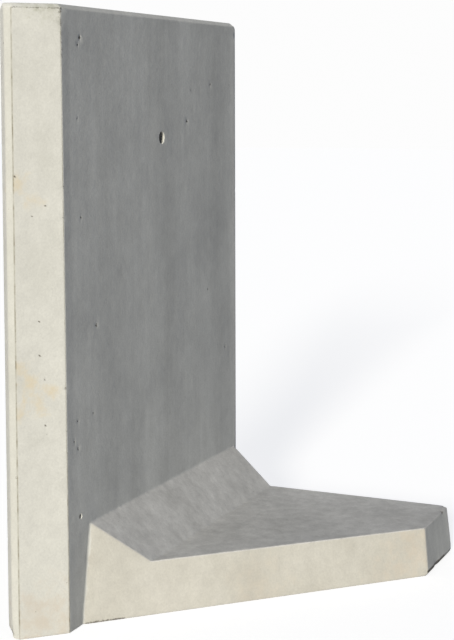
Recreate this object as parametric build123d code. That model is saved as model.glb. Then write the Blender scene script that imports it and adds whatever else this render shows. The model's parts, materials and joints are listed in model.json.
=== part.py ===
from build123d import *
import os
from math import cos, radians, sin, sqrt, tan

# Mitred corner unit of a precast L-shaped retaining wall: a stem, a haunch and a foot cast in one
# piece around a tied cage of steel bars. Two such units, one the mirror of the other, meet at their
# mitre faces and make a 90 degree outside corner.
#
# +X runs along the wall to the mitred end, +Y from the front face to the end of the foot, +Z up.
# The origin is the bottom centre of the bounding box. Everything is in millimetres.

# ---- the casting
unit_width = 1000.0        # along the front face
unit_height = 1300.0
foot_length = 700.0        # front face to the end of the foot, on the ground
stem_top_depth = 110.0     # front face to fill-side face
stem_base_depth = 114.0
mitre_angle = 45.0         # mitre face, from the wall's line
end_strip_end = 37.5       # where the square strip of the mitred end stops and the mitre begins
haunch_height = 212.0      # on the fill-side face
haunch_reach = 214.0       # front face to the foot of the haunch
foot_thickness = 115.0     # at the foot of the haunch
foot_end_thickness = 111.0
foot_end_draft = 0.11      # how far the end face leans back for each millimetre up
foot_inset = 58.0          # mitred end: from the stem's fill-side arris to the foot's side
foot_splay = 46.5          # mitred end: the foot's side, from square to the wall
foot_splay_draft = 0.185
foot_square_inset = 2.0    # square end: how far the foot's side sits in from the stem's end
foot_square_taper = 0.025
foot_square_draft = 0.06

# ---- bevels along the arrises
front_bevel = 20.0         # vertical front arris, both ends
front_top_bevel = 14.0
front_base_bevel = 20.0    # the edge the unit is tipped over on
back_top_bevel = 9.0       # fill-side and mitre-side top arrises
end_top_bevel = 15.0       # top arris of the square end
foot_end_bevel = 14.0      # far upright arris of the foot's end
foot_near_bevel = 2.0      # near upright arris of the foot's end
foot_base_bevel = 6.0      # lower arris of the foot's end

# ---- holes through the stem
lifting_bore = 27.0        # diameter inside the sleeve
lifting_x = -51.0          # over the unit's centre of gravity
lifting_below_top = 279.0
tie_bore = 10.0            # bolt hole for the bracket that ties two units together
tie_from_arris = 55.0      # from the stem's fill-side arris at the mitred end
tie_above_haunch = 24.0
sleeve_wall = 2.5
mouth_depth = 2.5          # the sleeves end this far below both faces
mouth_flare = 1.5          # how much wider than the bore each mouth is at the face, all round

# ---- steel cage
cover = 25.0               # least concrete over a bar
end_cover = 45.0           # centre of the outer bar from the square end
bar_end_cover = 30.0       # concrete past the cut end of a bar
upright_foot_z = 58.0      # lower end of the upright bars, over the foot legs
layer_gap = 0.5            # between bars that cross and are tied
main_bar = 10.0            # diameters
light_bar = 8.0
thin_bar = 6.0
bend_radius = 24.0         # centreline
uprights_each_side = 4     # of the lifting hole
hole_to_upright = 40.0
foot_bar_shift = 25.0      # beside the upright, so that the two pass each other
haunch_bar_shift = 50.0
corner_leg_height = 700.0
first_cross_z = 110.0
cross_bars_below_hole = 5
hole_to_cross = 111.0
top_bar_depth = 40.0       # below the top
front_cross_first_z = 150.0
front_cross_pitch = 250.0
front_cross_count = 3
foot_cross_first = 160.0   # from the front face
foot_cross_count = 4
trimmer_offset = 45.0      # above and below the lifting hole
trimmer_length = 300.0
haunch_bar_start = 50.0    # upper end, from the front face
haunch_bar_low_z = 45.0
shortest_foot_bar = 150.0

# ---- spacers that hold the cage off the mould
wheel_thickness = 8.0
wheel_skin = 1.0           # concrete between a wheel and the mould face
wheel_mouth = 0.7          # width of the clip's mouth, as a share of the bar
seat_clearance = 0.25      # between a spacer and the bar it holds
chair_length = 40.0
chair_width = 20.0
chair_skin = 1.0           # concrete under a chair
chair_places = (0.3, 0.8)  # shares of the bar they stand under

# ---- places worked out from the values above
front_y = -(foot_length - foot_end_draft * foot_base_bevel) / 2
half = unit_width / 2
lifting_z = unit_height - lifting_below_top
tie_z = haunch_height + tie_above_haunch
batter = (stem_base_depth - stem_top_depth) / unit_height
mitre_run = 1 / tan(radians(mitre_angle))
splay_run = tan(radians(foot_splay))
haunch_slope = (haunch_height - foot_thickness) / (haunch_reach - stem_base_depth)


def stem_depth(z):
    """Front face to fill-side face at height z."""
    return stem_base_depth - batter * z


def mitre_x(depth):
    """The mitred end of the stem at a depth behind the front face."""
    return half - mitre_run * max(0.0, depth - end_strip_end)


def upright_depth(z):
    """The upright bars lie parallel to the fill-side face."""
    return stem_depth(z) - cover - main_bar / 2


def cross_depth(z):
    """The cross bars are tied to the front of the upright bars."""
    return upright_depth(z) - main_bar / 2 - layer_gap - light_bar / 2


def splay_x(depth, z):
    """The foot's splayed side at a depth behind the front face and a height."""
    arris = mitre_x(stem_base_depth)
    return arris - foot_inset - splay_run * (depth - stem_base_depth) - foot_splay_draft * z


def splay_depth(x, z):
    """How deep the foot reaches at x, on its splayed side."""
    arris = mitre_x(stem_base_depth)
    return stem_base_depth + (arris - foot_inset - foot_splay_draft * z - x) / splay_run


def trim(solid, point, normal):
    """Cuts away what lies beyond a plane; normal points out of what is kept."""
    return split(solid, bisect_by=Plane(origin=point, z_dir=normal), keep=Keep.BOTTOM)


def bevel(solid, point, first, second, size):
    """An even bevel, size wide on each face, on an arris between two outward normals."""
    out = (Vector(*first) + Vector(*second)).normalized()
    inward = size * sqrt((1 - Vector(*first).dot(Vector(*second))) / 2)
    return trim(solid, Vector(*point) - out * inward, out)


def prism(outline, low_x, high_x):
    """A solid with one outline of (depth, z) points, from low_x to high_x."""
    face = make_face(Polyline([(0, front_y + d, z) for d, z in outline], close=True))
    return Pos(low_x, 0, 0) * extrude(face, high_x - low_x, dir=(1, 0, 0))


# ---- shape of the casting before anything is cast in
def stem_shape():
    outline = [(0, 0), (0, unit_height), (stem_top_depth, unit_height), (stem_base_depth, 0)]
    shape = prism(outline, -half, half)
    mitre = Vector(sin(radians(mitre_angle)), cos(radians(mitre_angle)), 0)
    shape = trim(shape, (half, front_y + end_strip_end, 0), mitre)
    top = unit_height
    back_y = front_y + stem_top_depth
    left, right = (-1, 0, 0), (1, 0, 0)
    front, back = (0, -1, 0), (0, 1, 0)
    down, up = (0, 0, -1), (0, 0, 1)
    shape = bevel(shape, (half, front_y, 0), front, right, front_bevel)
    shape = bevel(shape, (-half, front_y, 0), front, left, front_bevel)
    shape = bevel(shape, (0, front_y, top), front, up, front_top_bevel)
    shape = bevel(shape, (0, front_y, 0), front, down, front_base_bevel)
    shape = bevel(shape, (0, back_y, top), back, up, back_top_bevel)
    shape = bevel(shape, (half, front_y + end_strip_end, top), tuple(mitre), up, back_top_bevel)
    shape = bevel(shape, (half, 0, top), right, up, back_top_bevel)
    shape = bevel(shape, (-half, 0, top), left, up, end_top_bevel)
    return shape


def foot_shape():
    """Haunch and foot. It starts inside the stem, so that the two join in one casting."""
    start = stem_base_depth / 2
    end_top = foot_length - foot_end_draft * foot_end_thickness
    outline = [
        (start, 0),
        (start, haunch_height),
        (stem_depth(haunch_height), haunch_height),
        (haunch_reach, foot_thickness),
        (end_top, foot_end_thickness),
        (foot_length, 0),
    ]
    shape = prism(outline, -unit_width, unit_width)
    along = Vector(-sin(radians(foot_splay)), cos(radians(foot_splay)), 0)
    splay_out = along.cross(Vector(-foot_splay_draft, 0, 1)).normalized()
    splay_foot = Vector(splay_x(stem_base_depth, 0), front_y + stem_base_depth, 0)
    shape = trim(shape, splay_foot, splay_out)
    square_x = -half + foot_square_inset
    square_out = Vector(-1, foot_square_taper, foot_square_draft).normalized()
    square_foot = Vector(square_x, front_y + stem_base_depth, 0)
    shape = trim(shape, square_foot, square_out)
    end_out = Vector(0, 1, foot_end_draft).normalized()
    end_y = front_y + foot_length
    far_x = square_x + foot_square_taper * (foot_length - stem_base_depth)
    near_x = splay_x(foot_length, 0)
    shape = bevel(shape, (far_x, end_y, 0), tuple(square_out), tuple(end_out), foot_end_bevel)
    shape = bevel(shape, (near_x, end_y, 0), tuple(splay_out), tuple(end_out), foot_near_bevel)
    shape = bevel(shape, (0, end_y, 0), tuple(end_out), (0, 0, -1), foot_base_bevel)
    return shape


# ---- bars
def bar(points, diameter, radius=0.0):
    """A round bar along points of (x, depth, z), with its corners bent to a radius."""
    line = [(x, front_y + d, z) for x, d, z in points]
    path = FilletPolyline(*line, radius=radius) if radius else Polyline(*line)
    section = Plane(origin=path @ 0, z_dir=path % 0) * Circle(diameter / 2)
    return sweep(section, path=path)


def spread(low, high, count):
    return [low + (high - low) * i / (count - 1) for i in range(count)]


front_bar_depth = cover + light_bar / 2
front_cross_depth = front_bar_depth + light_bar / 2 + layer_gap + thin_bar / 2
foot_bar_z = foot_end_thickness - cover - main_bar / 2
foot_cross_z = foot_bar_z - main_bar / 2 - layer_gap - light_bar / 2
leg_z = cover + light_bar / 2
side_cover = (cover + main_bar / 2) * sqrt(2)
upright_xs = spread(-half + end_cover, lifting_x - hole_to_upright, uprights_each_side)
last_upright_x = mitre_x(upright_depth(0)) - side_cover
upright_xs += spread(lifting_x + hole_to_upright, last_upright_x, uprights_each_side)
cross_zs = spread(first_cross_z, lifting_z - hole_to_cross, cross_bars_below_hole)
cross_zs.append((lifting_z + trimmer_offset + unit_height - top_bar_depth) / 2)


def foot_bar_end(x, z):
    """Where a bar in the foot stops, by the end face or by the splayed side."""
    end = foot_length - foot_end_draft * z - bar_end_cover
    return min(end, splay_depth(x, z) - side_cover)


def cross_bar(z):
    """A bar across the stem, from the square end to the mitre."""
    ends = (-half + bar_end_cover, mitre_x(cross_depth(z)) - side_cover)
    return bar([(x, cross_depth(z), z) for x in ends], light_bar)


def stem_bars():
    made = {}
    for i, x in enumerate(upright_xs, 1):
        ends = [(x, upright_depth(z), z) for z in (upright_foot_z, unit_height - bar_end_cover)]
        made[f"stem_upright_bar_{i}"] = bar(ends, main_bar)
    for i, z in enumerate(cross_zs, 1):
        made[f"stem_cross_bar_{i}"] = cross_bar(z)
    made["top_edge_bar"] = cross_bar(unit_height - top_bar_depth)
    low, high = lifting_x - trimmer_length / 2, lifting_x + trimmer_length / 2
    for name, side in (("upper_trimmer_bar", 1), ("lower_trimmer_bar", -1)):
        z = lifting_z + side * trimmer_offset
        made[name] = bar([(low, cross_depth(z), z), (high, cross_depth(z), z)], light_bar)
    low, high = -half + bar_end_cover, half - end_cover
    for i in range(front_cross_count):
        z = front_cross_first_z + i * front_cross_pitch
        ends = [(low, front_cross_depth, z), (high, front_cross_depth, z)]
        made[f"front_cross_bar_{i + 1}"] = bar(ends, thin_bar)
    return made


def foot_bars():
    made = {}
    for i, x in enumerate(upright_xs, 1):
        end = foot_bar_end(x, leg_z)
        if end > stem_base_depth:
            bends = [(x, front_bar_depth, corner_leg_height), (x, front_bar_depth, leg_z), (x, end, leg_z)]
            made[f"corner_bar_{i}"] = bar(bends, light_bar, bend_radius)
        x_top = x + foot_bar_shift
        end = foot_bar_end(x_top, foot_bar_z)
        start = front_cross_depth + thin_bar
        if end - start > shortest_foot_bar:
            ends = [(x_top, start, foot_bar_z), (x_top, end, foot_bar_z)]
            made[f"foot_top_bar_{i}"] = bar(ends, main_bar)
        x_haunch = x + haunch_bar_shift
        drop = (cover + light_bar / 2) * sqrt(1 + haunch_slope**2)
        high_z = haunch_height - drop + haunch_slope * (stem_base_depth - haunch_bar_start)
        low_depth = haunch_bar_start + (high_z - haunch_bar_low_z) / haunch_slope
        if low_depth < splay_depth(x_haunch, haunch_bar_low_z) - side_cover:
            ends = [(x_haunch, haunch_bar_start, high_z), (x_haunch, low_depth, haunch_bar_low_z)]
            made[f"haunch_bar_{i}"] = bar(ends, light_bar)
    last = foot_length - foot_end_draft * foot_cross_z - bar_end_cover - light_bar
    for i, depth in enumerate(spread(foot_cross_first, last, foot_cross_count), 1):
        low, high = -half + end_cover, splay_x(depth, foot_cross_z) - side_cover
        ends = [(low, depth, foot_cross_z), (high, depth, foot_cross_z)]
        made[f"foot_cross_bar_{i}"] = bar(ends, light_bar)
    return made


# ---- spacers
def wheel(x, depth, z, bar_diameter, face_distance):
    """A round plastic spacer clipped on an upright bar, turning about it."""
    disc = Circle(face_distance - wheel_skin) - Circle(bar_diameter / 2 + seat_clearance)
    slot = Pos(face_distance / 2, 0) * Rectangle(face_distance, bar_diameter * wheel_mouth)
    return Pos(x, front_y + depth, z) * extrude(disc - slot, wheel_thickness / 2, both=True)


def chair(x, depth):
    """A mortar block under a corner bar's foot leg, with a round seat for the bar."""
    under_bar = Align.CENTER, Align.CENTER, Align.MAX
    block = Box(chair_width, chair_length, leg_z - chair_skin, align=under_bar)
    seat = Rot(90, 0, 0) * Cylinder(light_bar / 2 + seat_clearance, 2 * chair_length)
    return Pos(x, front_y + depth, leg_z) * (block - seat)


def spacers():
    front = []
    back = []
    chairs = []
    front_zs = [front_cross_first_z + front_cross_pitch * (i + 0.5) for i in range(front_cross_count - 1)]
    back_zs = [(cross_zs[1] + cross_zs[2]) / 2, (cross_zs[3] + cross_zs[4]) / 2]
    for x in (upright_xs[0], upright_xs[uprights_each_side]):
        front += [wheel(x, front_bar_depth, z, light_bar, front_bar_depth) for z in front_zs]
        chairs += [chair(x, share * foot_bar_end(x, leg_z)) for share in chair_places]
    for x in (upright_xs[1], upright_xs[-2]):
        back += [wheel(x, upright_depth(z), z, main_bar, cover + main_bar / 2) for z in back_zs]
    return {"stem_front_spacers": front, "stem_back_spacers": back, "foot_chairs": chairs}


# ---- sleeves
def across(shape, x, depth, z):
    """Turns a shape's axis from +Z to +Y, and puts its middle at a depth behind the front face."""
    return Pos(x, front_y + depth, z) * Rot(-90, 0, 0) * shape


def sleeve_run(diameter, x, z):
    """A round solid as long as a sleeve, in the middle of the stem."""
    length = stem_depth(z) - 2 * mouth_depth
    return across(Cylinder(diameter / 2, length), x, stem_depth(z) / 2, z)


def sleeve(bore, x, z):
    """A plastic tube that lines a hole and ends a little below both faces of the stem."""
    return sleeve_run(bore + 2 * sleeve_wall, x, z) - sleeve_run(bore, x, z)


def hole(bore, x, z):
    """What a sleeve and its two flared mouths take out of the stem."""
    narrow, wide = bore / 2, bore / 2 + 2 * mouth_flare
    front_mouth = across(Cone(wide, narrow, 2 * mouth_depth), x, 0, z)
    back_mouth = across(Cone(narrow, wide, 2 * mouth_depth), x, stem_depth(z), z)
    return sleeve_run(bore + 2 * sleeve_wall, x, z) + front_mouth + back_mouth


# ---- putting it together
casting = stem_shape() + foot_shape()
tie_x = mitre_x(stem_depth(tie_z)) - tie_from_arris

pieces = {}
pieces.update(stem_bars())
pieces.update(foot_bars())
pieces.update(spacers())
pieces["lifting_sleeve"] = sleeve(lifting_bore, lifting_x, lifting_z)
pieces["tie_sleeve"] = sleeve(tie_bore, tie_x, tie_z)
nodes = {}
for name, made in pieces.items():
    nodes[name] = ShapeList(made if isinstance(made, list) else [made]).solids()
cast_in = [solid for made in nodes.values() for solid in made]
casting -= hole(lifting_bore, lifting_x, lifting_z)
casting -= hole(tie_bore, tie_x, tie_z)
nodes["concrete_casting"] = (casting - cast_in).solids()

os.makedirs("parts", exist_ok=True)
for name, made in nodes.items():
    export_step(made[0] if len(made) == 1 else Compound(made), f"parts/{name}.step")
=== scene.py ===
"""Looks of a mitred precast concrete corner unit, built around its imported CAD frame."""

import json
from math import cos, hypot, radians, sin

import bmesh
import bpy
import numpy as np
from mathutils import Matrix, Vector, noise


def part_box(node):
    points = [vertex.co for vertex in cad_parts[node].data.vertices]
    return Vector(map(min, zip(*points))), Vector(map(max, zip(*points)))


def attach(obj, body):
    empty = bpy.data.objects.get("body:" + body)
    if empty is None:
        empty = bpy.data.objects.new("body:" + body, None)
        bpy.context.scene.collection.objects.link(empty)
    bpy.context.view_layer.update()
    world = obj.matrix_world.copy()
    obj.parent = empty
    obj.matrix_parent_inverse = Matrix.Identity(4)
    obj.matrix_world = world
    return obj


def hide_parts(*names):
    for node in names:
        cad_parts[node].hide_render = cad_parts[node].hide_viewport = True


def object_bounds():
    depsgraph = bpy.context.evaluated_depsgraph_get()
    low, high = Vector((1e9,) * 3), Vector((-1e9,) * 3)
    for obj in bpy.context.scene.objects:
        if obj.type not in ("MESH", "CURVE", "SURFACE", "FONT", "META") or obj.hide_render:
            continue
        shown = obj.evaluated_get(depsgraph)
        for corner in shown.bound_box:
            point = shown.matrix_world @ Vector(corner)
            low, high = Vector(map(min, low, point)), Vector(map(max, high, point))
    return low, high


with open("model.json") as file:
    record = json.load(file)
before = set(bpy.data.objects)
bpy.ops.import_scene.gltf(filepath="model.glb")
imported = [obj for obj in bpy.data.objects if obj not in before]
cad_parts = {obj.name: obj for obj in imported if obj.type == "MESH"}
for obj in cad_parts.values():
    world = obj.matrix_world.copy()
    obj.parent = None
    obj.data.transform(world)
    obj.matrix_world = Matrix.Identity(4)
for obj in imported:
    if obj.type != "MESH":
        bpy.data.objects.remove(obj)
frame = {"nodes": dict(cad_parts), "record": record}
cad_low, cad_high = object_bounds()

MM = 0.001
STEM_DEPTH = 110 * MM             # front face to fill-side face, at the top
STEM_BASE_DEPTH = 114 * MM
STRIP_END = 37.5 * MM             # where the mitre begins, behind the front face
HAUNCH_TOP = 212 * MM
FRONT_Y = cad_low.y
BACK_Y = FRONT_Y + STEM_DEPTH
TOP_Z = cad_high.z
MITRE_X = cad_high.x

# ---- mesh of the casting
ARRIS_ROUND = 2.2 * MM            # a struck arris is never quite sharp
CELL = 20 * MM                    # coarse cells on the flat faces
FINE_REACH = (26 * MM, 9 * MM)    # cells nearer to an arris than these are halved
SHARP_ANGLE = radians(14)         # an edge that turns more than this is an arris
CREASE_ANGLE = radians(32)        # shading is broken at edges sharper than this
SHORTEST_EDGE = 3 * MM            # shorter edges aren't divided any further
LONG_WAVE = 1.0 * MM              # unevenness left by the mould, long and short
SHORT_WAVE = 0.4 * MM
WAVE_FADE = 30 * MM
NIBBLE = 8 * MM                   # small breaks along the arrises
NIBBLE_REACH = 6 * MM
TROWEL_MARK = 0.5 * MM            # unevenness along the inner corners
TROWEL_REACH = 9 * MM

# The dark line at this joint is painted shade of its narrow V
SEAM_WIDTH = 2.6 * MM             # mould joint between the end strip and the mitre

# Worn and broken places: centre in mm, reach, depth
WORN = [
    ((427, -239, 1284), 9, 1.8),
    ((426, -238, 1262), 7, 1.6),
    ((425, -238, 1196), 5, 1.0),
    ((426, -238, 933), 5, 1.2),
    ((426, -238, 869), 5, 1.2),
    ((426, -238, 518), 6, 1.4),
    ((425, -237, 428), 5, 1.2),
    ((427, -239, 112), 5, 1.2),
    ((494, -338, 6), 20, 4.0),
    ((-486, 344, 6), 20, 5.0),
    ((-330, 348, 2), 16, 3.5),
    ((-478, 336, 110), 12, 2.0),
    ((-420, 338, 109), 12, 2.0),
    ((40, 92, 113), 9, 1.6),
    ((-499, -345, 700), 12, 3.0),
    ((-497, -240, 60), 16, 4.0),
    ((-60, -349, 2), 18, 3.5),
    ((300, -349, 1297), 12, 2.6),
]
# Crumbly, grimy arrises along the top, and painted shade along the bottom edges at the floor: both
# ends in mm, reach, how strong
GRIME_AND_BASE_SHADE = [
    ((430, -242, 1291), (500, -312, 1291), 4, 0.62),
    ((427, -240, 1292), (426, -238, 1190), 7, 0.52),
    ((360, -230, 2), (298, -172, 2), 5, 0.72),
    ((-254, 348, 9), (-400, 348, 9), 5, 0.95),
    ((-400, 348, 9), (-486, 348, 8), 4, 0.75),
]
# Single large pores, darkened inside with painted shade: centre in mm, radius, depth
PORES = [
    ((346, -239, 1235), 6.0, 2.6),
    ((355, -239, 1219), 4.0, 2.2),
    ((497, -333, 1219), 4.0, 2.5),
    ((500, -325, 892), 3.0, 2.0),
    ((497, -309, 955), 3.2, 2.2),
    ((455, -267, 895), 3.6, 2.4),
    ((474, -286, 873), 3.2, 2.0),
    ((486, -298, 862), 2.8, 1.8),
    ((463, -275, 659), 3.6, 2.4),
    ((465, -277, 590), 2.5, 1.5),
    ((456, -268, 539), 3.4, 2.2),
    ((457, -269, 446), 3.0, 2.0),
    ((462, -274, 212), 2.6, 1.6),
    ((-197, -239, 1057), 5.0, 2.5),
    ((-338, -239, 1143), 4.5, 2.2),
    ((-222, -239, 1131), 3.5, 2.0),
    ((361, -239, 1071), 3.5, 2.0),
    ((349, -238, 864), 3.5, 2.0),
    ((287, -238, 632), 4.6, 2.4),
    ((-321, -238, 641), 3.5, 2.0),
    ((-430, -237, 480), 5.0, 2.5),
    ((306, -237, 443), 3.5, 2.0),
    ((374, -237, 441), 4.0, 2.2),
    ((391, -237, 400), 3.5, 2.0),
    ((375, -237, 382), 4.2, 2.4),
    ((492, -349, 410), 4.0, 2.5),
    ((240, -349, 830), 5.0, 3.0),
    ((-310, -349, 1010), 4.0, 2.5),
    ((-120, -349, 300), 5.0, 3.0),
    ((-500, -300, 900), 4.0, 2.5),
]

# ---- light and camera
SUN_FROM = (radians(10), radians(15))   # turned from +X towards +Y, and height
SUN_COLOUR = "#FFF9E9"
SUN_STRENGTH = 4.25
SUN_SOFTNESS = radians(9)
FILL_FROM = (radians(-128), radians(2))
FILL_COLOUR = "#FFF8EE"
FILL_STRENGTH = 1.25
FILL_SOFTNESS = radians(30)
SKY_COLOUR = "#D2E0FF"
SKY_STRENGTH = 0.27
FOCAL_LENGTH = 89.1
CAMERA_AT = (3.265, 1.290, 1.112)
CAMERA_TURN = -0.391              # from -X, about +Z
CAMERA_TILT = -0.105
CAMERA_SHIFT = -0.0863            # keeps the whole unit in the frame
FLOOR_HALF = 30.0
FLOOR_GLOW = 0.77
BACKDROP_GLOW = 0.98


def linear(code):
    """A hex sRGB colour as linear RGBA."""
    parts = [int(code[i:i + 2], 16) / 255 for i in (1, 3, 5)]
    return (*[p / 12.92 if p <= 0.04045 else ((p + 0.055) / 1.055) ** 2.4 for p in parts], 1.0)


def add(tree, kind, inputs=None, stops=None, **settings):
    """Adds a node. A socket in inputs is linked, and anything else is that input's value."""
    made = tree.nodes.new(kind)
    for name, value in settings.items():
        setattr(made, name, value)
    for key, value in (inputs or {}).items():
        if isinstance(value, bpy.types.NodeSocket):
            tree.links.new(value, made.inputs[key])
        else:
            made.inputs[key].default_value = value
    for count, (place, colour) in enumerate(stops or ()):
        ramp = made.color_ramp.elements
        if 0 < count < len(stops) - 1:
            stop = ramp.new(place)
        else:
            stop = ramp[-1] if count else ramp[0]
        stop.position = place
        stop.color = colour
    return made


def material(name):
    """A new material and its empty node tree."""
    made = bpy.data.materials.new(name)
    made.use_nodes = True
    tree = made.node_tree
    tree.nodes.clear()
    return made, tree


def finish_material(tree, shader):
    """Sends the shader to the material's output."""
    output = add(tree, "ShaderNodeOutputMaterial")
    tree.links.new(shader.outputs[0], output.inputs["Surface"])


def per_mm(size):
    """The texture scale that makes a pattern's cells this many millimetres across."""
    return 1 / (size * MM)


# ---- concrete
def painted_joint_shade(tree, place, base_depth, top_depth, patches):
    """A thin upright dark line on the mitred end, from one depth at the base to another at the top:
    painted shade of the narrow V at the mould joint. It comes and goes, because the mould's two
    halves closed better in some places."""
    height = add(tree, "ShaderNodeSeparateXYZ", {0: place}).outputs["Z"]
    depth = add(tree, "ShaderNodeMapRange", {
        "Value": height, "From Min": 0.0, "From Max": TOP_Z,
        "To Min": base_depth, "To Max": top_depth})
    line_x = add(tree, "ShaderNodeMath", {0: MITRE_X + STRIP_END, 1: depth.outputs[0]},
                 operation="SUBTRACT")
    line_y = add(tree, "ShaderNodeMath", {0: FRONT_Y, 1: depth.outputs[0]}, operation="ADD")
    on_line = add(tree, "ShaderNodeCombineXYZ", {
        "X": line_x.outputs[0], "Y": line_y.outputs[0], "Z": height})
    away = add(tree, "ShaderNodeVectorMath", {0: place, 1: on_line.outputs[0]},
               operation="DISTANCE")
    line = add(tree, "ShaderNodeMapRange", {
        "Value": away.outputs["Value"], "From Min": 0.3 * SEAM_WIDTH, "From Max": SEAM_WIDTH,
        "To Min": 1.0, "To Max": 0.0})
    patchy_shade = add(tree, "ShaderNodeMapRange", {
        "Value": patches, "From Min": 0.36, "From Max": 0.62, "To Min": 0.25, "To Max": 0.85})
    return add(tree, "ShaderNodeMath", {0: line.outputs[0], 1: patchy_shade.outputs[0]},
               operation="MULTIPLY").outputs[0]


def cast_concrete(name, base, dark, light, streaks=0.0, blotch=0.5, pores=1.0, stains=(), seams=()):
    """Grey cement paste with sand in it, cast on steel: chalky, no gloss, with small air pores that
    are painted dark with the shade inside them.
    Lime and damp give it soft cloudy patches."""
    made, tree = material(name)
    place = add(tree, "ShaderNodeTexCoord").outputs["Object"]

    clouds = add(tree, "ShaderNodeTexNoise", {
        "Vector": place, "Scale": per_mm(170), "Detail": 5.0, "Roughness": 0.6})
    tone = add(tree, "ShaderNodeValToRGB", {"Fac": clouds.outputs["Fac"]}, stops=[
        (0.25, linear(dark)), (0.5, linear(base)), (0.78, linear(light))])
    colour = tone.outputs["Color"]

    mottle = add(tree, "ShaderNodeTexNoise", {
        "Vector": place, "Scale": per_mm(28), "Detail": 6.0, "Roughness": 0.68})
    mottle_gain = add(tree, "ShaderNodeMapRange", {
        "Value": mottle.outputs["Fac"], "From Min": 0.3, "From Max": 0.7,
        "To Min": 1 - 0.16 * blotch, "To Max": 1 + 0.16 * blotch})
    sand = add(tree, "ShaderNodeTexNoise", {
        "Vector": place, "Scale": per_mm(4.5), "Detail": 3.0, "Roughness": 0.7})
    sand_gain = add(tree, "ShaderNodeMapRange", {
        "Value": sand.outputs["Fac"], "From Min": 0.3, "From Max": 0.7,
        "To Min": 0.94, "To Max": 1.06})
    gain = add(tree, "ShaderNodeMath", {0: mottle_gain.outputs[0], 1: sand_gain.outputs[0]},
               operation="MULTIPLY").outputs[0]
    if streaks:
        for wide, tall, share in ((30, 420, 0.55), (130, 1900, 1.0)):
            stretched = add(tree, "ShaderNodeMapping", {
                "Vector": place, "Scale": (per_mm(wide), per_mm(wide), per_mm(tall))})
            runs = add(tree, "ShaderNodeTexNoise", {
                "Vector": stretched.outputs["Vector"], "Scale": 1.0, "Detail": 4.0,
                "Roughness": 0.55})
            run_gain = add(tree, "ShaderNodeMapRange", {
                "Value": runs.outputs["Fac"], "From Min": 0.3, "From Max": 0.7,
                "To Min": 1 - streaks * share, "To Max": 1 + streaks * share})
            gain = add(tree, "ShaderNodeMath", {0: gain, 1: run_gain.outputs[0]},
                       operation="MULTIPLY").outputs[0]
    colour = add(tree, "ShaderNodeVectorMath", {0: colour, "Scale": gain},
                 operation="SCALE").outputs["Vector"]

    # What lies over the paste: stains, grime and crumbs, and painted shade in the mould joints, the
    # pores and along the bottom edges; each layer's colour, and how far it covers
    layers = []
    for centre, reach, shade, strength in stains:
        away = add(tree, "ShaderNodeVectorMath", {0: place, 1: tuple(c * MM for c in centre)},
                   operation="DISTANCE")
        ragged = add(tree, "ShaderNodeMath", {
            0: mottle.outputs["Fac"], 1: -4.2 * reach * MM, 2: away.outputs["Value"]},
            operation="MULTIPLY_ADD")
        cover = add(tree, "ShaderNodeMapRange", {
            "Value": ragged.outputs[0],
            "From Min": -2.5 * reach * MM, "From Max": -0.9 * reach * MM,
            "To Min": strength, "To Max": 0.0}, interpolation_type="SMOOTHSTEP")
        layers.append((shade, cover.outputs[0]))
    # Thin lines of painted shade along the mould joints
    for base_depth, top_depth in seams:
        line = painted_joint_shade(tree, place, base_depth, top_depth, mottle.outputs["Fac"])
        layers.append(("#75705F", line))

    # Dark crumbs on broken and grimy places, which also paint the shade in the large pores and
    # along the bottom edges
    crumbs = add(tree, "ShaderNodeTexNoise", {
        "Vector": place, "Scale": per_mm(3.4), "Detail": 3.0, "Roughness": 0.65})
    wear_and_shade = add(tree, "ShaderNodeAttribute", attribute_name="wear_and_shade")
    rough_place = add(tree, "ShaderNodeMath", {0: wear_and_shade.outputs["Fac"], 1: crumbs.outputs["Fac"]},
                      operation="ADD")
    speckle_and_shade = add(tree, "ShaderNodeMapRange", {
        "Value": rough_place.outputs[0], "From Min": 0.98, "From Max": 1.24,
        "To Min": 0.0, "To Max": 0.9})
    layers.append(("#5A554D", speckle_and_shade.outputs[0]))

    # Small air pores, painted dark with the shade that falls inside them
    pore_cells = add(tree, "ShaderNodeTexVoronoi", {
        "Vector": place, "Scale": per_mm(24), "Randomness": 1.0})
    pore_size = add(tree, "ShaderNodeMapRange", {
        "Value": pore_cells.outputs["Color"], "From Min": 0.62, "From Max": 1.0,
        "To Min": 0.0, "To Max": 0.085 * pores})
    pore_shade = add(tree, "ShaderNodeMapRange", {
        "Value": pore_cells.outputs["Distance"], "From Min": 0.0,
        "From Max": pore_size.outputs[0], "To Min": 1.0, "To Max": 0.0})
    layers.append(("#6B675F", pore_shade.outputs[0]))
    for shade, cover in layers:
        colour = add(tree, "ShaderNodeMix", {"Factor": cover, "A": colour, "B": linear(shade)[:3]},
                     data_type="VECTOR").outputs["Result"]

    grain = add(tree, "ShaderNodeBump", {
        "Height": sand.outputs["Fac"], "Strength": 0.35, "Distance": 0.8 * MM})
    skin = add(tree, "ShaderNodeBump", {
        "Height": mottle.outputs["Fac"], "Strength": 0.4, "Distance": 2.2 * MM,
        "Normal": grain.outputs["Normal"]})
    roughness = add(tree, "ShaderNodeMapRange", {
        "Value": mottle.outputs["Fac"], "From Min": 0.3, "From Max": 0.7,
        "To Min": 0.82, "To Max": 0.96})
    shader = add(tree, "ShaderNodeBsdfPrincipled", {
        "Base Color": colour, "Roughness": roughness.outputs[0], "IOR": 1.45,
        "Specular IOR Level": 0.25, "Normal": skin.outputs["Normal"]})
    finish_material(tree, shader)
    return made


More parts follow.
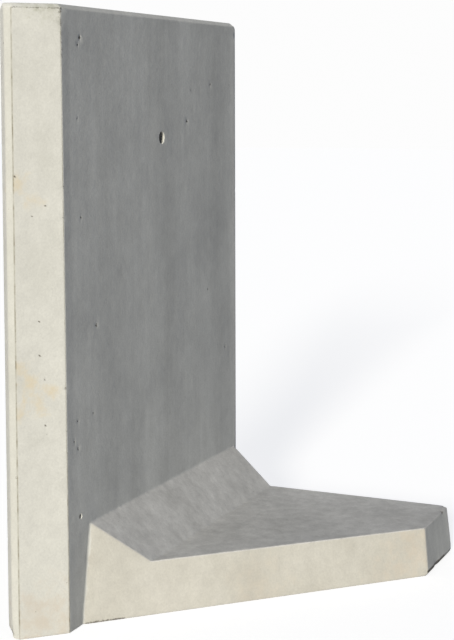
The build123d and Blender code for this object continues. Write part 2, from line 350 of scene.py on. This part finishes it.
# ---- what is cast in
def rusty_bar_steel():
    """Hot-rolled ribbed bar: blue-black mill scale under an even bloom of orange rust."""
    made, tree = material("hot_rolled_bar_steel_rusted")
    place = add(tree, "ShaderNodeTexCoord").outputs["Object"]
    rust = add(tree, "ShaderNodeTexNoise", {
        "Vector": place, "Scale": per_mm(9), "Detail": 6.0, "Roughness": 0.7})
    colour = add(tree, "ShaderNodeValToRGB", {"Fac": rust.outputs["Fac"]}, stops=[
        (0.3, linear("#3A3431")), (0.5, linear("#6B4530")), (0.72, linear("#95582F"))])
    ribs = add(tree, "ShaderNodeTexWave", {
        "Vector": place, "Scale": per_mm(7) / 20, "Distortion": 0.0}, bands_direction="DIAGONAL")
    bump = add(tree, "ShaderNodeBump", {
        "Height": ribs.outputs["Fac"], "Strength": 0.6, "Distance": 0.8 * MM})
    shader = add(tree, "ShaderNodeBsdfPrincipled", {
        "Base Color": colour.outputs["Color"], "Roughness": 0.72, "Metallic": 0.35,
        "Normal": bump.outputs["Normal"]})
    finish_material(tree, shader)
    return made


def sleeve_pvc():
    """Extruded grey PVC conduit, dulled by a film of cement."""
    made, tree = material("extruded_pvc_with_cement_film")
    place = add(tree, "ShaderNodeTexCoord").outputs["Object"]
    film = add(tree, "ShaderNodeTexNoise", {
        "Vector": place, "Scale": per_mm(11), "Detail": 4.0})
    colour = add(tree, "ShaderNodeValToRGB", {"Fac": film.outputs["Fac"]}, stops=[
        (0.35, linear("#94928B")), (0.65, linear("#ABA9A2"))])
    shader = add(tree, "ShaderNodeBsdfPrincipled", {
        "Base Color": colour.outputs["Color"], "Roughness": 0.75, "IOR": 1.53})
    finish_material(tree, shader)
    return made


def spacer_plastic():
    """Moulded recycled polypropylene, dark grey with a faint flow pattern and a waxy look."""
    made, tree = material("moulded_recycled_polypropylene")
    place = add(tree, "ShaderNodeTexCoord").outputs["Object"]
    flow = add(tree, "ShaderNodeTexNoise", {
        "Vector": place, "Scale": per_mm(14), "Detail": 3.0, "Distortion": 1.2})
    colour = add(tree, "ShaderNodeValToRGB", {"Fac": flow.outputs["Fac"]}, stops=[
        (0.35, linear("#4C5053")), (0.65, linear("#666A6C"))])
    shader = add(tree, "ShaderNodeBsdfPrincipled", {
        "Base Color": colour.outputs["Color"], "Roughness": 0.5, "IOR": 1.49})
    finish_material(tree, shader)
    return made


def chair_mortar():
    """Extruded fibre mortar: pale, dense and finely gritty."""
    made, tree = material("extruded_fibre_mortar")
    place = add(tree, "ShaderNodeTexCoord").outputs["Object"]
    grit = add(tree, "ShaderNodeTexNoise", {
        "Vector": place, "Scale": per_mm(3), "Detail": 4.0, "Roughness": 0.7})
    colour = add(tree, "ShaderNodeValToRGB", {"Fac": grit.outputs["Fac"]}, stops=[
        (0.3, linear("#A19D93")), (0.7, linear("#C3BFB4"))])
    bump = add(tree, "ShaderNodeBump", {
        "Height": grit.outputs["Fac"], "Strength": 0.4, "Distance": 0.5 * MM})
    shader = add(tree, "ShaderNodeBsdfPrincipled", {
        "Base Color": colour.outputs["Color"], "Roughness": 0.9, "Normal": bump.outputs["Normal"]})
    finish_material(tree, shader)
    return made


# ---- the casting's skin
HOLES = [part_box(node) for node in ("lifting_sleeve", "tie_sleeve")]
HOLE_AXES = [((low.x + high.x) / 2, (low.z + high.z) / 2) for low, high in HOLES]
MOUTH_REACH = 2 * MM              # how far a mouth may stand outside its sleeve's box
FLAT_REACH = 31 * MM              # nothing is displaced this near to a hole's axis
HOLE_FRAME = 21 * MM              # half the square that is left out of the grid


def outer_shell(mesh):
    """Deletes the hollows round the cast-in pieces, and keeps the shell that reaches furthest."""
    unseen = set(mesh.verts)
    shells = []
    while unseen:
        shell = [unseen.pop()]
        for vert in shell:
            for edge in vert.link_edges:
                other = edge.other_vert(vert)
                if other in unseen:
                    unseen.remove(other)
                    shell.append(other)
        shells.append(shell)
    shells.sort(key=lambda shell: max(v.co.z for v in shell) - min(v.co.z for v in shell))
    inner = [vert for shell in shells[:-1] for vert in shell]
    bmesh.ops.delete(mesh, geom=inner, context="VERTS")


def turn_at(edge):
    """How sharply the surface turns at an edge, positive at an outer arris."""
    return edge.calc_face_angle_signed(0.0) if len(edge.link_faces) == 2 else 0.0


def cut(mesh, edges, faces, axis, at):
    """Cuts edges and faces where they cross the plane at this place along an axis."""
    across = Vector((axis == 0, axis == 1, axis == 2))
    bmesh.ops.bisect_plane(mesh, geom=mesh.verts[:] + edges + faces, dist=1e-5,
                           plane_co=across * at, plane_no=across)


def frame_holes(mesh):
    """Cuts a square round each hole's mouths, and marks the faces inside it. The grid leaves them
    out, because a cut through a face that winds round a hole can bridge the hole."""
    for x, z in HOLE_AXES:
        for axis, middle in ((0, x), (2, z)):
            for side in (-HOLE_FRAME, HOLE_FRAME):
                cut(mesh, mesh.edges[:], mesh.faces[:], axis, middle + side)
    at_hole = mesh.faces.layers.int.new("at_hole")
    for face in mesh.faces:
        face[at_hole] = touches_hole(face.verts)
    return at_hole


def grid_cut(mesh, at_hole):
    """Cuts the flat faces into cells along all three axes."""
    kept = {e for e in mesh.edges if all(f[at_hole] for f in e.link_faces)}
    for axis in range(3):
        steps = round((cad_high[axis] - cad_low[axis]) / CELL)
        for i in range(1, steps):
            edges = [e for e in mesh.edges if e not in kept]
            faces = [f for f in mesh.faces if not f[at_hole]]
            at = cad_low[axis] + (cad_high[axis] - cad_low[axis]) * i / steps
            cut(mesh, edges, faces, axis, at)


def distance_to(points, lines):
    """Each point's distance to the nearest of some straight lines, which may be single points."""
    nearest = np.full(len(points), 9.0)
    for a, b in lines:
        along = b - a
        share = np.clip((points - a) @ along / max(along @ along, 1e-12), 0, 1)
        nearest = np.minimum(nearest, np.linalg.norm(points - a - share[:, None] * along, axis=1))
    return nearest


def touches_hole(verts):
    """Whether any of these vertices lies on the wall or the mouth of a sleeved hole."""
    return any(low.x - MOUTH_REACH < v.co.x < high.x + MOUTH_REACH
               and low.z - MOUTH_REACH < v.co.z < high.z + MOUTH_REACH
               for v in verts for low, high in HOLES)


def beside_hole(face):
    """Whether a face is a piece of the flat round a hole's mouth."""
    middle = face.calc_center_median()
    near = any(hypot(middle.x - x, middle.z - z) < FLAT_REACH for x, z in HOLE_AXES)
    return near and abs(face.normal.y) > 0.99


def casting_skin():
    """A finely divided copy of the casting's outside, with every arris rounded."""
    mesh = bmesh.new()
    mesh.from_mesh(frame["nodes"]["concrete_casting"].data)
    bmesh.ops.remove_doubles(mesh, verts=mesh.verts, dist=0.01 * MM)
    outer_shell(mesh)
    bmesh.ops.dissolve_limit(mesh, angle_limit=radians(0.6), verts=mesh.verts, edges=mesh.edges)
    mesh.normal_update()
    long_edges = [e for e in mesh.edges if not touches_hole(e.verts)]
    sharp = [e for e in long_edges if turn_at(e) > SHARP_ANGLE]
    inner = [e for e in long_edges if turn_at(e) < -SHARP_ANGLE]
    lines = [tuple(np.array(v.co) for v in e.verts) for e in sharp]
    creases = [tuple(np.array(v.co) for v in e.verts) for e in inner]
    bmesh.ops.bevel(mesh, geom=sharp + inner, offset=ARRIS_ROUND, segments=2, profile=0.5,
                    affect="EDGES", clamp_overlap=False, loop_slide=True)
    at_hole = frame_holes(mesh)
    grid_cut(mesh, at_hole)
    winding = [f for f in mesh.faces if f[at_hole] and len(f.verts) > 4]
    bmesh.ops.triangulate(mesh, faces=winding, quad_method="BEAUTY", ngon_method="BEAUTY")
    spots = [(np.array(centre) * MM,) * 2 for centre, radius, depth in PORES]
    for reach in FINE_REACH:
        middles = np.array([f.calc_center_median() for f in mesh.faces])
        near = np.flatnonzero(distance_to(middles, lines + creases + spots) < reach)
        mesh.faces.ensure_lookup_table()
        edges = {e for i in near for e in mesh.faces[i].edges
                 if e.calc_length() > SHORTEST_EDGE and not any(f[at_hole] for f in e.link_faces)}
        bmesh.ops.subdivide_edges(mesh, edges=list(edges), cuts=1, use_grid_fill=True)
    return mesh, lines, creases


def ripple(points, size, seed):
    """Smooth noise from -1 to 1 with bumps of about this size."""
    shift = Vector((seed * 7.1, seed * 3.7, seed * 5.3))
    return np.array([noise.noise(Vector(p) / size + shift) for p in points])


def weather(points, normals, lines, creases):
    """How far each point of the skin lies in from the mould's shape, how broken it is there, and
    where the pores and the bottom edges get painted shade.
    """
    away = distance_to(points, lines)
    waves = (LONG_WAVE / 2 * (1 + ripple(points, 260 * MM, 1))
             + SHORT_WAVE / 2 * (1 + ripple(points, 60 * MM, 2)))
    waves *= np.clip(away / WAVE_FADE, 0.1, 1)
    clear = np.ones(len(points))
    for x, z in HOLE_AXES:
        from_axis = np.hypot(points[:, 0] - x, points[:, 2] - z)
        clear *= np.clip((from_axis - FLAT_REACH) / WAVE_FADE, 0, 1)
    waves *= clear
    waves[normals[:, 2] < -0.9] = 0
    rough = ripple(points, 12 * MM, 3) + 0.5 * ripple(points, 5 * MM, 4)
    on_arris = np.exp(-(away / NIBBLE_REACH) ** 2)
    nibbles = np.clip(ripple(points, 34 * MM, 5) + 0.4 * rough - 0.7, 0, 1) * NIBBLE * on_arris
    trowelled = np.exp(-(distance_to(points, creases) / TROWEL_REACH) ** 2)
    depth = waves + nibbles + TROWEL_MARK * clear * trowelled * (1 + rough)
    wear_and_shade = np.clip(nibbles / (1.6 * MM), 0, 0.85)
    for centre, reach, deep in WORN:
        off = np.linalg.norm(points - np.array(centre) * MM, axis=1) / (reach * MM)
        near = np.exp(-off ** 2)
        depth += near * deep * MM * np.clip(0.7 + 0.6 * rough, 0.1, 1.4)
        wear_and_shade = np.maximum(wear_and_shade, 0.72 * near)
    # The pores are hollowed, and their insides darkened with painted shade
    for centre, radius, deep in PORES:
        off = np.linalg.norm(points - np.array(centre) * MM, axis=1) / (radius * MM)
        bowl = np.clip(1 - off ** 2, 0, 1)
        depth += bowl * deep * MM
        wear_and_shade = np.maximum(wear_and_shade, np.clip(1.6 * bowl, 0, 1))
    # Grime along the top arrises; along the bottom edges this darkening is painted shade
    for start, end, reach, cover in GRIME_AND_BASE_SHADE:
        line = [(np.array(start) * MM, np.array(end) * MM)]
        near = np.exp(-(distance_to(points, line) / (reach * MM)) ** 2)
        wear_and_shade = np.maximum(wear_and_shade, cover * near)
    return depth, wear_and_shade


FORMED, FILL_SIDE, FLOATED, FOOT_SIDE, PAINTED_SHADE_BASE, END_STRIP = range(6)


def finish_of(face):
    """Which of the casting's finishes a face has, by where it is and how it lies. The faces turned
    down along the foot's base get painted shade.
    """
    middle = face.calc_center_median()
    if face.normal.z > 0.4 and middle.z < HAUNCH_TOP + 5 * MM:
        return FLOATED
    if face.normal.y > 0.9 and middle.y < BACK_Y + 8 * MM:
        return FILL_SIDE
    if middle.y > BACK_Y + 6 * MM:
        # Faces turned down to the floor along the foot's base: painted shade under the bottom edge
        if -0.95 < face.normal.z < -0.3:
            return PAINTED_SHADE_BASE
        return FILL_SIDE if face.normal.y > 0.93 else FOOT_SIDE
    return END_STRIP if face.normal.x > 0.93 else FORMED


def build_casting():
    """The weathered casting, with its finishes, in place of the plain one."""
    mesh, lines, creases = casting_skin()
    mesh.normal_update()
    points = np.array([v.co for v in mesh.verts])
    normals = np.array([v.normal for v in mesh.verts])
    depth, wear_and_shade = weather(points, normals, lines, creases)
    moved = points - normals * depth[:, None]
    for vert, place in zip(mesh.verts, moved):
        vert.co = place
    for face in mesh.faces:
        face.material_index = finish_of(face)
    smooth = [not beside_hole(face) for face in mesh.faces]
    data = bpy.data.meshes.new("casting")
    mesh.to_mesh(data)
    mesh.free()
    wear_and_shade_values = data.attributes.new("wear_and_shade", "FLOAT", "POINT")
    wear_and_shade_values.data.foreach_set("value", wear_and_shade.astype(np.float32))
    data.set_sharp_from_angle(angle=CREASE_ANGLE)
    data.polygons.foreach_set("use_smooth", smooth)
    piece = bpy.data.objects.new("corner_unit_casting", data)
    bpy.context.scene.collection.objects.link(piece)
    for finish in (formed, fill_side, floated, foot_side, painted_shade_base, end_strip):
        data.materials.append(finish)
    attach(piece, "root")
    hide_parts("concrete_casting")
    return piece


# Stains: centre in mm, reach, colour, strength
END_STAINS = [
    ((462, -276, 30), 90, "#BDB3A6", 0.6),
    ((494, -307, 937), 30, "#C9BEA8", 0.8),
    ((470, -282, 905), 22, "#C9BEA8", 0.45),
    ((497, -309, 559), 28, "#C9BEA8", 0.75),
    ((479, -292, 532), 26, "#C9BEA8", 0.75),
    ((450, -262, 509), 22, "#C9BEA8", 0.75),
    ((465, -277, 494), 26, "#C9BEA8", 0.7),
    ((498, -310, 472), 20, "#C9BEA8", 0.75),
    ((440, -250, 1302), 38, "#9C9D8E", 0.7),
    ((480, -290, 1304), 24, "#9C9D8E", 0.6),
    ((428, -240, 1262), 18, "#8F8F82", 0.6),
]
FOOT_STAINS = [
    ((-250, 300, 55), 110, "#BFB09E", 0.35),
    ((60, 60, 30), 80, "#BFB5A6", 0.3),
]
# Depths of the mould joints, where thin lines of painted shade run
MOULD_JOINTS = [(STRIP_END, STRIP_END), (STEM_BASE_DEPTH, STEM_DEPTH)]
formed = cast_concrete("steel_formed_concrete", "#C7C7C3", "#BEBEB9", "#CDCDC8", blotch=0.3,
                       streaks=0.012, stains=END_STAINS, seams=MOULD_JOINTS)
fill_side = cast_concrete("steel_formed_concrete_fill_side", "#C5C6C3", "#BABBB9", "#CDCECB",
                          streaks=0.08, blotch=0.35)
floated = cast_concrete("wood_floated_concrete", "#C4C3C0", "#B3B2AF", "#D2D1CE", blotch=0.85)
foot_side = cast_concrete("steel_formed_concrete_foot_side", "#BDBBB4", "#B4B0A8", "#C6C4BE",
                          streaks=0.035, blotch=0.35, stains=FOOT_STAINS)
# Dark colour on the faces turned down along the foot's base: painted shade, where the floor would
# otherwise light them
painted_shade_base = cast_concrete("concrete_with_painted_base_shade", "#63605B", "#4C4945", "#7A7770", blotch=1.0)
end_strip = cast_concrete("steel_formed_concrete_end_strip", "#C0C0BB", "#B8B8B2", "#C6C6C1",
                          blotch=0.3, streaks=0.02, seams=MOULD_JOINTS)
casting = build_casting()

cast_in_finishes = {
    "bar_steel": rusty_bar_steel(),
    "sleeve_plastic": sleeve_pvc(),
    "spacer_plastic": spacer_plastic(),
    "chair_mortar": chair_mortar(),
}
for part in frame["record"]["subparts"]:
    if part["material_slot"] in cast_in_finishes:
        node = frame["nodes"][part["node"]]
        node.data.materials.clear()
        node.data.materials.append(cast_in_finishes[part["material_slot"]])


# ---- floor, light and camera
def pale_floor():
    """A matt pale studio floor. It looks bright to the camera and lights the unit only a little."""
    made, tree = material("pale_studio_floor")
    diffuse = add(tree, "ShaderNodeBsdfDiffuse", {"Color": linear("#A6A6A6")})
    glow = add(tree, "ShaderNodeEmission", {"Color": linear("#FFFFFF"), "Strength": FLOOR_GLOW})
    both = add(tree, "ShaderNodeAddShader", {0: diffuse.outputs[0], 1: glow.outputs[0]})
    seen = add(tree, "ShaderNodeLightPath").outputs["Is Camera Ray"]
    shader = add(tree, "ShaderNodeMixShader", {0: seen, 1: diffuse.outputs[0], 2: both.outputs[0]})
    finish_material(tree, shader)
    data = bpy.data.meshes.new("floor")
    side = FLOOR_HALF
    corners = [(-side, -side, 0), (side, -side, 0), (side, side, 0), (-side, side, 0)]
    data.from_pydata(corners, [], [(0, 1, 2, 3)])
    data.materials.append(made)
    floor = bpy.data.objects.new("floor", data)
    bpy.context.scene.collection.objects.link(floor)


def far_light(name, turn, height, colour, strength, softness):
    """A soft light from far off: turned from +X towards +Y, and so high over the floor."""
    data = bpy.data.lights.new(name, "SUN")
    data.energy = strength
    data.angle = softness
    data.color = linear(colour)[:3]
    lamp = bpy.data.objects.new(name, data)
    towards = Vector((cos(height) * cos(turn), cos(height) * sin(turn), sin(height)))
    lamp.rotation_euler = towards.to_track_quat("Z", "Y").to_euler()
    bpy.context.scene.collection.objects.link(lamp)


def daylight():
    """A low sun that grazes the fill side, a weak fill on the two shaded sides and an even sky."""
    far_light("low_sun", *SUN_FROM, SUN_COLOUR, SUN_STRENGTH, SUN_SOFTNESS)
    far_light("shade_fill", *FILL_FROM, FILL_COLOUR, FILL_STRENGTH, FILL_SOFTNESS)
    world = bpy.data.worlds.new("sky")
    bpy.context.scene.world = world
    world.use_nodes = True
    tree = world.node_tree
    tree.nodes.clear()
    seen = add(tree, "ShaderNodeLightPath").outputs["Is Camera Ray"]
    sky = add(tree, "ShaderNodeBackground", {"Color": linear(SKY_COLOUR), "Strength": SKY_STRENGTH})
    backdrop = add(tree, "ShaderNodeBackground", {
        "Color": linear("#FFFFFF"), "Strength": BACKDROP_GLOW})
    mixed = add(tree, "ShaderNodeMixShader", {0: seen, 1: sky.outputs[0], 2: backdrop.outputs[0]})
    output = add(tree, "ShaderNodeOutputWorld")
    tree.links.new(mixed.outputs[0], output.inputs["Surface"])


def camera():
    """Looks along the wall at the mitred end and the fill side, with the whole unit in view."""
    data = bpy.data.cameras.new("camera")
    data.lens = FOCAL_LENGTH
    data.shift_y = CAMERA_SHIFT
    made = bpy.data.objects.new("camera", data)
    made.location = CAMERA_AT
    ahead = Vector((-cos(CAMERA_TURN) * cos(CAMERA_TILT), sin(CAMERA_TURN) * cos(CAMERA_TILT),
                    sin(CAMERA_TILT)))
    made.rotation_euler = ahead.to_track_quat("-Z", "Y").to_euler()
    bpy.context.scene.collection.objects.link(made)
    bpy.context.scene.camera = made


pale_floor()
daylight()
camera()
bpy.context.scene.view_settings.view_transform = "Standard"
